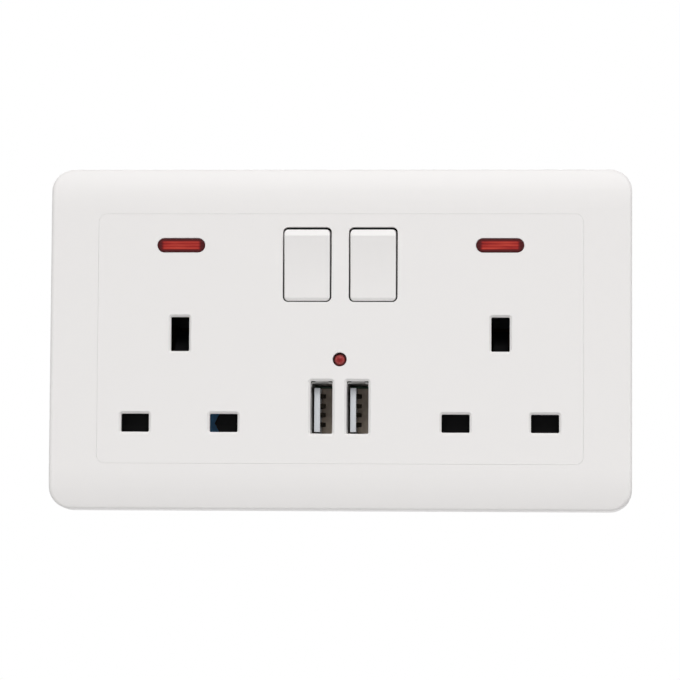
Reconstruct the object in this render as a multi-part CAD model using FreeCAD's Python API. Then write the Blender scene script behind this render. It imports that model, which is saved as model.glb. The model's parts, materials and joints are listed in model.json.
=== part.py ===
import FreeCAD, Part
import math
import os

V = FreeCAD.Vector

# Twin British 13 A switched wall socket with two USB ports, in millimetres.
# X runs right, Z up, the front faces -Y, and the wall is the plane y = 0.
# The origin is the middle of the line between the two fixing holes.

# Front plate
plate_width = 145.6
plate_height = 85.5
plate_depth = 9.5
plate_corner = 5.5
plate_edge = 0.9
plate_draft = 0.2
band_height = 10.0
band_tilt = 20.0
frame_skin = 2.4
frame_side = 2.2

# Middle panel, set in the frame with a hairline gap
panel_margin = (12.2, 11.55)
panel_corner = 2.0
panel_thick = 2.2
panel_gap = 0.03
flange_reach = 1.3
flange_thick = 1.0
flange_gap = 0.2
hole_bevel = 0.55
rim_round = 0.15
snap_width = 9.0
snap_bite = 0.25
snap_thick = 0.75
snap_play = 0.05
snap_margin = 15.6

# Clearances
fit_play = 0.06
slide_play = 0.25
contact_play = 0.05
thread_play = 0.05

# Outlets: the centre of each, and its pin holes
outlet_margin = 32.8
line_margin = 21.67
pin_side = 11.1
pin_rise = 22.2
line_hole = (7.0, 4.6)
earth_hole = (4.62, 8.62)
hole_corner = 0.35
line_pin = (6.35, 4.0)
earth_pin = (4.0, 8.0)
line_reach = 17.7
earth_reach = 22.7
deck_hole_play = 0.3

# How far one feature of a moulding is sunk into the next to join them
join = 0.2

# Body of the socket: a front deck and a rear case, clamped on a steel strap
case_margin = (15.3, 11.25)
case_corner = 2.5
case_wall = 1.8
case_depth = 21.0
case_back = 2.0
notch_depth = 5.0
notch_height = 20.0
deck_gap = 0.4
deck_thick = 2.0
flange_out = 0.8
flange_deep = 1.5
strap_margin = (3.8, 4.25)
strap_corner = 3.0
strap_thick = 1.2
strap_grip = 1.3
strap_step = 0.5
strap_corner_gap = 0.4
fixing_margin = 12.5
fixing_radius = 2.1
strap_slot = (3.4, 16.0)
strap_slot_margin = (7.6, 18.75)

# Case screws
screw_radius = 1.25
screw_head_radius = 2.2
screw_head_height = 1.8
screw_inset = (3.7, 3.3)
screw_board_gap = 0.8
screw_boss = 3.2
screw_seat = 13.0
screw_bite = 3.0
screw_hole_play = 0.2
screw_cross = (1.54, 0.3)

# Cover clips and the tongues that they grip
tongue_margin = 37.8
tongue_width = 8.0
tongue_thick = 1.6
tongue_inset = 8.15
tongue_end_gap = 1.0
clip_thick = 0.5
clip_height = 4.0
clip_width = 6.0

# Rockers
rocker_x = 8.25
rocker_margin = 24.22
aperture = (12.15, 18.74)
aperture_corner = 1.3
rocker_side_gap = 0.4
rocker_end_gap = 0.47
rocker_corner = 1.0
rocker_tilt = 6.0
pivot_depth = 2.9
rocker_crest = 1.0
rocker_hollow = 0.36
rocker_top_lip = 1.4
rocker_low_lip = 0.9
rocker_edge_drop = 0.65
rocker_low_drop = 0.4
rocker_lift = 0.1
rocker_round = 0.3
rocker_skirt = 4.3
rocker_wall = 1.3
rocker_roof = 1.5
trunnion_radius = 1.0
trunnion_bite = 1.0
lug_radius = 1.4
lug_thick = 1.2
lug_play = 0.2
well_play = 0.1
well_end_play = 0.3
well_depth = 3.5
well_wall = 1.2
well_slot = (4.0, 5.0)

# Plunger in each rocker
tube_radius = 2.5
plunger_radius = 1.55
plunger_play = 0.1
plunger_tip = 0.8
plunger_reach = 9.0
plunger_length = 8.8
plunger_bore = 1.1
plunger_bore_depth = 2.5
tube_end = 2.6
plunger_cone = 2.0
plunger_neck = 0.2
plunger_spring_play = 0.12
plunger_wire = 0.3
plunger_turns = 6

# See-saw contact under each plunger
seesaw_width = 6.0
seesaw_length = 18.4
seesaw_thick = 1.0
seesaw_gap = 0.35
seesaw_ratio = -1.75
seesaw_pin = 0.8
seesaw_rivet = (1.6, 0.8)
seesaw_rivet_z = 8.2
support_ear = 0.8
support_gap = 0.3
support_back = 2.85
support_ear_height = 4.0
support_foot = 7.0
support_lead = 1.6
fixed_rivet = 1.45
fixed_pad_step = 2.6
fixed_pad_reach = 4.2
fixed_pad_start = 3.0
strip_thick = 0.8
bar_thick = 1.0
line_bar_height = 7.0
line_tab_width = 6.0
line_tab_margin = 0.5
line_tab_length = 5.0
line_tab_step = 1.8

# Shutters
shutter_bar_height = 5.9
shutter_over = 0.6
shutter_lap = 0.48
shutter_travel = 5.4
cap_thick = 1.5
slide_thick = 1.2
shutter_gap = 0.2
stem_width = 7.0
stem_top = 4.1
wedge_width = 3.6
wedge_lip = 1.0
wedge_root = 1.5
wedge_back = 3.2
wedge_step = 1.2
wedge_gap = 0.02
window_width = 3.4
window_roof = 2.6
window_height = 11.4
post_size = (2.6, 1.4)
shutter_wire = 0.35
shutter_coil = 1.05
shutter_turns = 9
rail_thick = 1.0
view_window = (5.0, 8.5, 9.8)
view_strip = 0.4
rib_side = 5.3
rib_thick = 1.2
rib_foot = 1.6
rail_lift = 0.4

# Pin contacts
grip_play = 0.05
grip_flare = 0.5
grip_length = 8.9
grip_lead = 1.6
grip_width = 6.0
contact_floor = 0.6
earth_grip_length = 10.5
earth_grip_width = 6.5
arm_left_inset = 14.0
arm_right_reach = 8.0
arm_width = 3.0
arm_top_inset = 5.1
arm_top_height = 4.0
post_radius = 2.0
arm_post_radius = 1.4
arm_post_rise = 7.28
arm_post_inset = 8.0
neutral_bar_rise = 4.78
neutral_bar_height = 3.0
neutral_step = 2.0
earth_bar_height = 6.0
earth_bar_over = 3.0

# Terminals
block_side = 8.0
block_depth = 6.6
wire_radius = 1.9
terminal_screw = 1.6
terminal_head = 2.6
terminal_head_height = 2.0
terminal_slot = (0.8, 1.0)
driver_radius = 3.2
terminal_ring = 1.4
earth_terminal_inset = 21.5
earth_terminal_rise = 8.88
wire_way = 2.3
wire_offset = 0.4
line_terminal_rise = 0.5
neutral_terminal_drop = 0.6
bar_hole_play = 0.2

# Neon lamps and lenses
lens_margin = (32.95, 19.43)
lens_hole = (12.0, 3.6)
lens_play = 0.05
lens_dome = 0.1
lens_round = 0.3
lens_flange = 0.8
lens_flange_thick = 1.0
lamp_radius = 2.0
lamp_length = 9.0
lamp_gap = 0.1
lamp_round = 0.8
pocket_play = 0.3
pocket_wall = 1.0
resistor_radius = 1.2
resistor_length = 6.3

# Charging light
led_rise = 12.1
led_hole = 1.75
led_radius = 1.5
led_inset = 0.5
led_body = 4.0
led_lead = 0.25
led_lead_x = 0.6
led_collar = (0.2, 1.0)

# USB ports and their board
usb_x = 4.5
usb_margin = 25.45
usb_hole = (5.5, 13.2)
usb_hole_rise = 0.15
usb_shell_size = (5.72, 13.1)
usb_wall = 0.3
usb_corner = (0.5, 0.3)
usb_lip = (0.35, 0.5)
usb_lip_corner = 0.9
usb_shell_length = 13.5
usb_tongue_x = -1.95
usb_tongue_thick = 1.4
usb_tongue_width = 10.95
usb_tongue_drop = 0.33
usb_tongue_inset = 1.3
usb_block = 4.0
usb_block_play = 0.05
usb_block_step = 0.7
usb_contact_z = (-3.56, -1.1, 1.1, 3.56)
usb_contact_size = (0.25, 1.0)
usb_contact_inset = 0.8
usb_contact_bow = 1.2
usb_bow_run = (0.8, 2.4, 3.0, 4.8)
usb_play = 0.3
board_size = (34.0, 28.0)
board_rise = 16.3
board_thick = 1.6
board_post = 2.0
moulded_corner = 0.5

# Board parts
core_size = (13.0, 9.0, 10.6)
core_place = (-8.5, 8.8)
core_limb = 2.0
winding_play = 0.3
winding_over = 0.8
winding_corner = 1.2
capacitor_radius = 3.1
capacitor_length = 8.5
capacitor_x = (-12.6, -4.2, 4.2)
capacitor_drop = 6.1
chip_size = (5.0, 1.5, 4.0)
chip_place = (13.0, 9.3)
chip_legs = 4
chip_leg_tuck = 0.3
chip_leg_reach = 0.9
chip_leg_half = 0.2
chip_leg_thick = 0.3
chip_seat = 0.1
lead_radius = 0.5
lead_bend = 0.75
lead_loop = 2.4
lead_drop = 2.0
lead_tuck = 1.2
live_lead_x = 10.5
neutral_lead_x = 13.0

sides = {"left": -1, "right": 1}

# Sizes and places worked out from those above
half_plate_x = plate_width / 2
half_plate_z = plate_height / 2
panel_width = plate_width - 2 * panel_margin[0]
panel_height = plate_height - 2 * panel_margin[1]
case_width = plate_width - 2 * case_margin[0]
case_height = plate_height - 2 * case_margin[1]
strap_width = plate_width - 2 * strap_margin[0]
strap_height = plate_height - 2 * strap_margin[1]
fixing_x = half_plate_x - fixing_margin
strap_slot_x = half_plate_x - strap_slot_margin[0]
strap_slot_z = half_plate_z - strap_slot_margin[1]
tongue_x = half_plate_x - tongue_margin
snap_x = panel_width / 2 - snap_margin
outlet_x = half_plate_x - outlet_margin
line_z = line_margin - half_plate_z
earth_z = line_z + pin_rise
rocker_z = half_plate_z - rocker_margin
lens_x = half_plate_x - lens_margin[0]
lens_z = half_plate_z - lens_margin[1]
usb_z = usb_margin - half_plate_z
led_z = usb_z + led_rise
board_top = usb_z + board_rise
screw_top_x = case_width / 2 - screw_inset[0]
screw_low_x = board_size[0] / 2 + screw_board_gap + screw_boss
screw_z = case_height / 2 - screw_inset[1]
arm_left_x = outlet_x - arm_left_inset
arm_right_x = outlet_x + arm_right_reach
arm_top_z = case_height / 2 - arm_top_inset
arm_post_x = outlet_x - arm_post_inset
arm_post_z = earth_z + arm_post_rise
neutral_bar_z = line_z + neutral_bar_rise
earth_terminal_x = outlet_x - earth_terminal_inset
earth_terminal_z = earth_z + earth_terminal_rise

# Planes worked out from the sizes above
front_y = -plate_depth
panel_back = front_y + panel_thick
deck_front = panel_back + deck_gap
deck_back = deck_front + deck_thick
strap_front = -strap_thick
case_floor = case_depth - case_back
opening_width = panel_width + 2 * panel_gap
opening_height = panel_height + 2 * panel_gap
flange_front = panel_back - flange_thick
notch_x = case_width / 2 - notch_depth

pivot_y = front_y + pivot_depth
rocker_width = aperture[0] - 2 * rocker_side_gap
rocker_half = aperture[1] / 2 - rocker_end_gap
rocker_top = rocker_half + rocker_lift
rocker_low = rocker_half - rocker_lift
rocker_ceiling = front_y - rocker_crest + rocker_hollow + rocker_roof
rocker_inner = rocker_width / 2 - rocker_wall
well_floor = deck_front + well_depth
tube_back = pivot_y + tube_end
plunger_tip_y = pivot_y + plunger_reach
seesaw_front = plunger_tip_y + seesaw_gap
seesaw_y = seesaw_front + seesaw_thick / 2
seesaw_tilt = seesaw_ratio * rocker_tilt
support_y = seesaw_front + seesaw_thick + support_back
line_bar_y = support_y + strip_thick

shutter_front = deck_back + shutter_gap
cap_back = shutter_front + cap_thick
slide_back = cap_back + slide_thick
bar_top = line_z + line_hole[1] / 2 + shutter_lap + shutter_over / 2
bar_low = bar_top - shutter_bar_height
bar_half = pin_side + line_hole[0] / 2 + shutter_over
stem_top_z = earth_z - stem_top
window_z = stem_top_z - window_roof - window_height
post_z = window_z + shutter_gap
spring_low = post_z + post_size[1]
spring_high = window_z + window_height

grip_back = front_y + line_reach + contact_floor
contact_back = grip_back + strip_thick
earth_grip_back = front_y + earth_reach + contact_floor
earth_back = earth_grip_back + strip_thick
neutral_bar_y = contact_back + neutral_step - strip_thick

usb_front = panel_back + shutter_gap
board_front = usb_front + usb_shell_length
board_back = board_front + board_thick


def box(x0, x1, y0, y1, z0, z1):
    return Part.makeBox(x1 - x0, y1 - y0, z1 - z0, V(x0, y0, z0))


def slab(width, height, radius, x, z, y0, y1):
    """Rounded rectangle in the XZ plane, drawn out along Y."""
    solid = box(x - width / 2, x + width / 2, y0, y1, z - height / 2, z + height / 2)
    if radius <= 0:
        return solid
    radius = min(radius, 0.499 * width, 0.499 * height)
    edges = [e for e in solid.Edges if abs(e.tangentAt(e.FirstParameter).y) > 0.9]
    return solid.makeFillet(radius, edges)


def rod(radius, x, z, y0, y1):
    """Round rod along Y."""
    return Part.makeCylinder(radius, y1 - y0, V(x, y0, z), V(0, 1, 0))


def cross_rod(radius, x0, x1, y, z):
    """Round rod along X."""
    return Part.makeCylinder(radius, x1 - x0, V(x0, y, z), V(1, 0, 0))


def post(radius, x, y, z0, z1):
    """Round rod along Z."""
    return Part.makeCylinder(radius, z1 - z0, V(x, y, z0), V(0, 0, 1))


def union(shapes):
    return shapes[0].fuse(shapes[1:]).removeSplitter()


def prism(points, x0, x1):
    """Polygon of (y, z) points, drawn out along X."""
    corners = [V(x0, y, z) for y, z in points]
    face = Part.Face(Part.makePolygon(corners + corners[:1]))
    return face.extrude(V(x1 - x0, 0, 0))


def prism_up(points, z0, z1):
    """Polygon of (x, y) points, drawn out along Z."""
    corners = [V(x, y, z0) for x, y in points]
    face = Part.Face(Part.makePolygon(corners + corners[:1]))
    return face.extrude(V(0, 0, z1 - z0))


def outline(width, height, radius, x, z, y):
    """Outline of a rounded rectangle in the plane at y."""
    faces = slab(width, height, radius, x, z, y, y + 1).Faces
    return min(faces, key=lambda face: face.CenterOfMass.y).OuterWire


def taper(width, height, radius, x, z, y0, y1, grow):
    """Rounded rectangle drawn out along Y, larger by grow all round at y0 than at y1."""
    start = outline(width + 2 * grow, height + 2 * grow, radius, x, z, y0)
    return Part.makeLoft([start, outline(width, height, radius, x, z, y1)], True, True)


def strip(line, thick, x0, x1):
    """Bent strip: its middle line is a list of (y, z) points."""
    upper, lower = [], []
    for i, (y, z) in enumerate(line):
        before = line[max(i - 1, 0)]
        after = line[min(i + 1, len(line) - 1)]
        first = V(0, y - before[0], z - before[1]) if i else V(0, after[0] - y, after[1] - z)
        second = V(0, after[0] - y, after[1] - z) if i < len(line) - 1 else first
        first.normalize()
        second = V(second).normalize()
        normal = V(0, -first.z, first.y)
        mitre = normal + V(0, -second.z, second.y)
        mitre.normalize()
        reach = thick / 2 / mitre.dot(normal)
        upper.append((y + mitre.y * reach, z + mitre.z * reach))
        lower.append((y - mitre.y * reach, z - mitre.z * reach))
    return prism(upper + lower[::-1], x0, x1)


def coil(radius, wire, turns, length, base, axis):
    """Round-wire spring whose ends lie flush within its length."""
    helix = Part.makeHelix((length - wire) / turns, length - wire, radius)
    circle = Part.Wire(Part.makeCircle(wire / 2, V(radius, 0, 0), V(0, 1, 0)))
    spring = Part.Wire(helix).makePipeShell([circle], True, True)
    spring.translate(V(0, 0, wire / 2))
    spring.Placement = FreeCAD.Placement(base, FreeCAD.Rotation(V(0, 0, 1), axis)).multiply(
        spring.Placement
    )
    return spring


def bent_wire(points, bend, radius):
    """Round wire through the points, with an arc at each corner."""
    points = [V(*p) for p in points]
    edges = []
    start = points[0]
    for before, corner, after in zip(points, points[1:], points[2:]):
        back = (before - corner).normalize()
        ahead = (after - corner).normalize()
        half = back.getAngle(ahead) / 2
        cut = bend / math.tan(half)
        middle = (back + ahead).normalize() * (bend / math.sin(half) - bend)
        arc_start = corner + back * cut
        arc_end = corner + ahead * cut
        edges.append(Part.LineSegment(start, arc_start).toShape())
        edges.append(Part.Arc(arc_start, corner + middle, arc_end).toShape())
        start = arc_end
    edges.append(Part.LineSegment(start, points[-1]).toShape())
    path = Part.Wire(edges)
    circle = Part.Wire(Part.makeCircle(radius, points[0], points[1] - points[0]))
    return path.makePipeShell([circle], True, True)


def save(name, solids):
    solids = solids if isinstance(solids, list) else [solids]
    whole = []
    for shape in solids:
        whole += shape.Solids
    bad = [s for s in whole if not s.isValid() or s.Volume <= 0]
    if bad or len(whole) != len(solids):
        print(name, "has", len(whole), "solids for", len(solids), "pieces,", len(bad), "not valid")
    shape = whole[0] if len(whole) == 1 else Part.makeCompound(whole)
    shape.exportStep(f"parts/{name}.step")


def front_edges(solid, width, height, x, z):
    """Edges in the plate's front plane that lie within a rectangle."""
    edges = []
    for edge in solid.Edges:
        b = edge.BoundBox
        flat = abs(b.YMin - front_y) < 1e-4 and abs(b.YMax - front_y) < 1e-4
        near_x = max(abs(b.XMin - x), abs(b.XMax - x)) < width / 2 + 0.01
        near_z = max(abs(b.ZMin - z), abs(b.ZMax - z)) < height / 2 + 0.01
        if flat and near_x and near_z:
            edges.append(edge)
    return edges


def each_outlet():
    return [(name, side * outlet_x) for name, side in sides.items()]


def line_x(name):
    return sides[name] * outlet_x + pin_side


def neutral_x(name):
    return sides[name] * outlet_x - pin_side


def band_block(inset, y_front, x_half):
    """Plate body whose top and bottom bands curve back, inset from its outline."""
    radius = band_height / math.sin(math.radians(band_tilt)) - inset
    flat = plate_height / 2 - band_height
    sweep = math.asin(min((band_height - inset) / radius, 0.9))
    drop = radius * (1 - math.cos(sweep))
    half_drop = radius * (1 - math.cos(sweep / 2))
    rise = radius * math.sin(sweep)
    half_rise = radius * math.sin(sweep / 2)

    def point(y, z):
        return V(-x_half, y, z)

    top = Part.Arc(
        point(y_front, flat),
        point(y_front + half_drop, flat + half_rise),
        point(y_front + drop, flat + rise),
    )
    low = Part.Arc(
        point(y_front + drop, -flat - rise),
        point(y_front + half_drop, -flat - half_rise),
        point(y_front, -flat),
    )
    lines = [
        (point(y_front, -flat), point(y_front, flat)),
        (point(y_front + drop, flat + rise), point(0, flat + rise)),
        (point(0, flat + rise), point(0, -flat - rise)),
        (point(0, -flat - rise), point(y_front + drop, -flat - rise)),
    ]
    edges = [Part.LineSegment(a, b).toShape() for a, b in lines]
    edges.insert(1, top.toShape())
    edges.append(low.toShape())
    face = Part.Face(Part.Wire(Part.__sortEdges__(edges)))
    return face.extrude(V(2 * x_half, 0, 0))


def front_frame():
    outer = band_block(0, front_y, plate_width / 2)
    outer = outer.common(
        taper(plate_width, plate_height, plate_corner, 0, 0, front_y, 0, -plate_draft)
    )
    rim = []
    for edge in outer.Edges:
        b = edge.BoundBox
        ahead = b.YMax < -plate_depth / 2 and b.YMin > front_y - 0.01
        at_side = min(abs(b.XMin), abs(b.XMax)) > plate_width / 2 - plate_corner - 0.01
        at_end = min(abs(b.ZMin), abs(b.ZMax)) > plate_height / 2 - plate_corner - 0.01
        inside_line = abs(b.XMax - b.XMin) > 1 and abs(b.ZMax - b.ZMin) < 0.01 and not at_end
        if ahead and (at_side or at_end) and not inside_line:
            rim.append(edge)
    outer = outer.makeFillet(plate_edge, rim)
    cavity = band_block(frame_side, front_y + frame_skin, plate_width / 2 - frame_side)
    cavity_outline = slab(
        plate_width - 2 * frame_side,
        plate_height - 2 * frame_side,
        plate_corner - frame_side,
        0,
        0,
        front_y,
        0,
    )
    frame = outer.cut(cavity.common(cavity_outline))
    opening = slab(opening_width, opening_height, panel_corner + panel_gap, 0, 0, front_y, 0)
    ledge = slab(
        panel_width + 2 * flange_reach + 2 * flange_gap,
        panel_height + 2 * flange_reach + 2 * flange_gap,
        panel_corner + flange_reach,
        0,
        0,
        flange_front,
        0,
    )
    frame = frame.cut(opening).cut(ledge)
    flange_z = panel_height / 2 + flange_reach
    snaps = []
    for x in (-snap_x, 0, snap_x):
        for side in (-1, 1):
            inner = side * (flange_z - snap_bite)
            outer_z = side * (flange_z + frame_side)
            snaps.append(
                box(
                    x - snap_width / 2,
                    x + snap_width / 2,
                    panel_back + snap_play,
                    panel_back + snap_play + snap_thick,
                    min(inner, outer_z),
                    max(inner, outer_z),
                )
            )
    return union([frame] + snaps + frame_tongues())


def tongue_places():
    z = plate_height / 2 - tongue_inset
    return [(x, side * z) for x in (-tongue_x, tongue_x) for side in (-1, 1)]


def frame_tongues():
    tongues = []
    for x, z in tongue_places():
        tongues.append(
            box(
                x - tongue_width / 2,
                x + tongue_width / 2,
                front_y + frame_skin - join,
                strap_front - tongue_end_gap,
                z - tongue_thick / 2,
                z + tongue_thick / 2,
            )
        )
    return tongues


def plug_holes():
    """The panel's holes for pins and plugs as (width, height, corner, x, z)."""
    holes = []
    for name, x in each_outlet():
        holes.append((*line_hole, hole_corner, line_x(name), line_z))
        holes.append((*line_hole, hole_corner, neutral_x(name), line_z))
        holes.append((*earth_hole, hole_corner, x, earth_z))
        holes.append((*usb_hole, hole_corner, sides[name] * usb_x, usb_z + usb_hole_rise))
    return holes


def button_holes():
    """The panel's holes for the rockers and lights as (width, height, corner, x, z)."""
    holes = [(2 * led_hole, 2 * led_hole, led_hole, 0, led_z)]
    for side in (-1, 1):
        holes.append((*aperture, aperture_corner, side * rocker_x, rocker_z))
        holes.append((*lens_hole, lens_hole[1] / 2, side * lens_x, lens_z))
    return holes


def inner_panel():
    panel = slab(panel_width, panel_height, panel_corner, 0, 0, front_y, panel_back)
    flange = slab(
        panel_width + 2 * flange_reach,
        panel_height + 2 * flange_reach,
        panel_corner + flange_reach,
        0,
        0,
        flange_front,
        panel_back,
    )
    panel = union([panel, flange])
    bevels, rounds = [], []
    for hole in plug_holes() + button_holes():
        panel = panel.cut(slab(*hole, front_y - 1, panel_back + 1))
    for width, height, _, x, z in plug_holes():
        bevels += front_edges(panel, width, height, x, z)
    panel = panel.makeChamfer(hole_bevel, bevels)
    for width, height, _, x, z in button_holes():
        rounds += front_edges(panel, width, height, x, z)
    return panel.makeFillet(rim_round, rounds)


def neon_lens(side):
    width, height = lens_hole
    x = side * lens_x
    lens_width = width - 2 * lens_play
    lens_height = height - 2 * lens_play
    body = slab(lens_width, lens_height, lens_height / 2, x, lens_z, front_y - lens_dome, panel_back)
    front = [e for e in body.Edges if e.BoundBox.YMax < front_y]
    body = body.makeFillet(lens_round, front)
    flange = slab(
        width + 2 * lens_flange,
        height + 2 * lens_flange,
        height / 2 + lens_flange,
        x,
        lens_z,
        panel_back,
        panel_back + lens_flange_thick,
    )
    return union([body, flange])


def case_block(inset, y0, y1):
    """Outline of the body, inset from its outer wall, with a notch at each side."""
    block = slab(
        case_width - 2 * inset,
        case_height - 2 * inset,
        case_corner - inset,
        0,
        0,
        y0,
        y1,
    )
    for side in (-1, 1):
        near = side * (notch_x - inset)
        far = side * case_width
        half = notch_height / 2 + inset
        notch = box(min(near, far), max(near, far), y0 - 1, y1 + 1, -half, half)
        block = block.cut(notch)
    return block


def screw_places():
    places = []
    for side in (-1, 1):
        places.append((side * screw_top_x, screw_z))
        places.append((side * screw_low_x, -screw_z))
    return places


def rocker_well(side):
    """Walls of a rocker's well behind the deck, and the tool that opens it."""
    x = side * rocker_x
    width = aperture[0] + 2 * well_play
    height = aperture[1] + 2 * well_end_play
    floor_back = well_floor + well_wall
    walls_x = width + 2 * well_wall
    walls_z = height + 2 * well_wall
    outer = slab(walls_x, walls_z, 1, x, rocker_z, deck_back, floor_back)
    inner = slab(width, height, 1, x, rocker_z, deck_front - 1, well_floor)
    slot = slab(*well_slot, moulded_corner, x, rocker_z, well_floor - 1, floor_back + 1)
    return outer, inner.fuse(slot)


def rocker_lugs(side):
    """Two lugs in the well, each with the trunnion that its rocker turns on."""
    lugs = []
    x = side * rocker_x
    for hand in (-1, 1):
        outer = rocker_inner - lug_play
        near = x + hand * (outer - lug_thick)
        far = x + hand * outer
        end = x + hand * (rocker_inner + trunnion_bite)
        low, high = min(near, far), max(near, far)
        lug = box(low, high, pivot_y, well_floor + join, rocker_z - lug_radius, rocker_z + lug_radius)
        cap = cross_rod(lug_radius, low, high, pivot_y, rocker_z)
        pin = cross_rod(trunnion_radius, min(near, end), max(near, end), pivot_y, rocker_z)
        lugs += [lug, cap, pin]
    return lugs


def lamp_pocket(side):
    """Walls behind the deck of the pocket that a neon lamp lies in, and the tool that opens it."""
    width = lens_hole[0] + 2 * lens_flange + 2 * pocket_play
    height = lens_hole[1] + 2 * lens_flange + 2 * pocket_play
    floor = lamp_y() + lamp_radius
    x = side * lens_x
    outer = slab(
        width + 2 * pocket_wall,
        height + 2 * pocket_wall,
        1,
        x,
        lens_z,
        deck_back,
        floor + pocket_wall,
    )
    inner = slab(width, height, moulded_corner, x, lens_z, deck_front - 1, floor)
    return outer, inner


def lamp_y():
    return panel_back + lens_flange_thick + lamp_gap + lamp_radius


def shutter_rails(x):
    """Ribs behind the deck on both sides of a shutter's stem, and the post for its spring."""
    half_x, height = post_size[0] / 2, post_size[1]
    rails = [box(x - half_x, x + half_x, deck_back, slide_back, post_z, post_z + height)]
    for hand in (-1, 1):
        near = x + hand * (stem_width / 2 + slide_play)
        far = near + hand * rail_thick
        low_x, high_x = min(near, far), max(near, far)
        rails.append(box(low_x, high_x, deck_back, slide_back, bar_top + rail_lift, stem_top_z))
    return rails


def shutter_stop(x):
    """Rib on the skirt that keeps a shutter's bar from the middle of the socket."""
    inner = -1 if x > 0 else 1
    near = x + inner * (bar_half + slide_play)
    far = near + inner * rail_thick
    low = -case_height / 2 + case_wall - join
    return box(min(near, far), max(near, far), deck_back, slide_back, low, bar_top)


def base_front():
    """The deck, the flat front of the body."""
    deck = case_block(0, deck_front, deck_back)
    for side in sides.values():
        deck = deck.cut(rocker_well(side)[1]).cut(lamp_pocket(side)[1])
    for tool in deck_holes():
        deck = deck.cut(tool)
    return deck


def base_skirt():
    """Wall round the deck's back, with the bosses that the case screws bite in."""
    skirt = case_block(0, deck_back, strap_front)
    flange = case_block(-flange_out, strap_front - flange_deep, strap_front)
    skirt = union([skirt, flange]).cut(case_block(case_wall, deck_back - 1, 1))
    inside = case_block(case_wall / 2, deck_back, strap_front)
    extras = [shutter_stop(side * outlet_x) for side in sides.values()]
    for x, z in screw_places():
        extras.append(rod(screw_boss, x, z, deck_back, strap_front).common(inside))
    skirt = union([skirt] + extras)
    for x, z in screw_places():
        tip = strap_front - screw_bite
        skirt = skirt.cut(rod(screw_radius + thread_play, x, z, tip - screw_hole_play, 1))
    return skirt


def deck_wells():
    """Wells of the rockers, with their lugs, and pockets of the neon lamps."""
    shapes = []
    for side in sides.values():
        walls, tool = rocker_well(side)
        shapes.append(union([walls.cut(tool)] + rocker_lugs(side)))
        walls, tool = lamp_pocket(side)
        shapes.append(walls.cut(tool))
    return shapes


def deck_holes():
    """Ways through the deck for the pins, the USB shells and the charging light."""
    tools = []
    for name, x in each_outlet():
        for place, size in (
            ((line_x(name), line_z), line_hole),
            ((neutral_x(name), line_z), line_hole),
            ((x, earth_z), earth_hole),
        ):
            width = size[0] + 2 * deck_hole_play
            height = size[1] + 2 * deck_hole_play
            tools.append(slab(width, height, hole_corner, *place, deck_front - 1, deck_back))
        tools.append(
            slab(
                usb_shell_size[0] + 2 * usb_play,
                usb_shell_size[1] + 2 * usb_play,
                moulded_corner,
                sides[name] * usb_x,
                usb_z,
                deck_front - 1,
                deck_back + 1,
            )
        )
    tools.append(rod(led_radius + usb_play, 0, led_z, deck_front - 1, deck_back + 1))
    return tools


def mounting_strap():
    strap = slab(strap_width, strap_height, strap_corner, 0, 0, strap_front, 0)
    half_x = case_width / 2 - strap_grip
    half_z = case_height / 2 - case_wall + strap_step
    corner_x = screw_top_x - screw_boss - strap_corner_gap
    corner_z = screw_z - screw_boss - strap_corner_gap
    notch_half = notch_height / 2
    windows = [
        box(-corner_x, corner_x, -2, 1, -half_z, half_z),
        box(-notch_x + strap_grip, notch_x - strap_grip, -2, 1, -corner_z, corner_z),
        box(-half_x, half_x, -2, 1, notch_half, corner_z),
        box(-half_x, half_x, -2, 1, -half_z, -notch_half),
    ]
    for tool in windows:
        strap = strap.cut(tool)
    ears = []
    for x, z in screw_places():
        low, high = z - screw_boss, z + screw_boss
        ears.append(box(x - screw_boss, x + screw_boss, strap_front, 0, low, high))
    strap = union([strap] + ears)
    for x, z in screw_places():
        strap = strap.cut(rod(screw_radius + screw_hole_play, x, z, -2, 1))
    for side in (-1, 1):
        strap = strap.cut(rod(fixing_radius, side * fixing_x, 0, -2, 1))
        for hand in (-1, 1):
            width, height = strap_slot
            x, z = side * strap_slot_x, hand * strap_slot_z
            strap = strap.cut(slab(width, height, width / 2, x, z, -2, 1))
    return strap


def case_screw(x, z):
    shank = rod(screw_radius, x, z, strap_front - screw_bite, screw_seat)
    head = rod(screw_head_radius, x, z, screw_seat, screw_seat + screw_head_height)
    screw = union([shank, head])
    for size in (screw_cross, screw_cross[::-1]):
        tool = box(
            x - size[0],
            x + size[0],
            screw_seat + screw_head_height / 2,
            case_depth,
            z - size[1],
            z + size[1],
        )
        screw = screw.cut(tool)
    return screw


def cover_clip(x, z):
    base_y = strap_front - clip_thick
    half = tongue_thick / 2 + contact_play
    clips = [
        box(
            x - clip_width / 2,
            x + clip_width / 2,
            base_y,
            strap_front,
            z - half - clip_thick,
            z + half + clip_thick,
        )
    ]
    for side in (-1, 1):
        near = z + side * half
        far = near + side * clip_thick
        clips.append(
            box(
                x - clip_width / 2,
                x + clip_width / 2,
                strap_front - clip_height,
                strap_front,
                min(near, far),
                max(near, far),
            )
        )
    return union(clips)


def terminal_places():
    """Each terminal's block front and where its screw turns, by name."""
    line_front = line_bar_y + bar_thick + line_tab_step
    neutral_front = neutral_bar_y + bar_thick
    earth_front = earth_back - block_depth
    return {
        "line_terminal": (0, rocker_z + line_terminal_rise, line_front),
        "neutral_terminal": (neutral_x("right"), line_z - neutral_terminal_drop, neutral_front),
        "earth_terminal_left": (-earth_terminal_x, earth_terminal_z, earth_front),
        "earth_terminal_right": (earth_terminal_x, earth_terminal_z, earth_front),
    }


def screw_seat_y(name):
    """Where a terminal screw's head bears: on its block, or on the earth bar behind it."""
    front = terminal_places()[name][2]
    bar = bar_thick if name.startswith("earth") else 0
    return front + block_depth + bar


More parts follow.
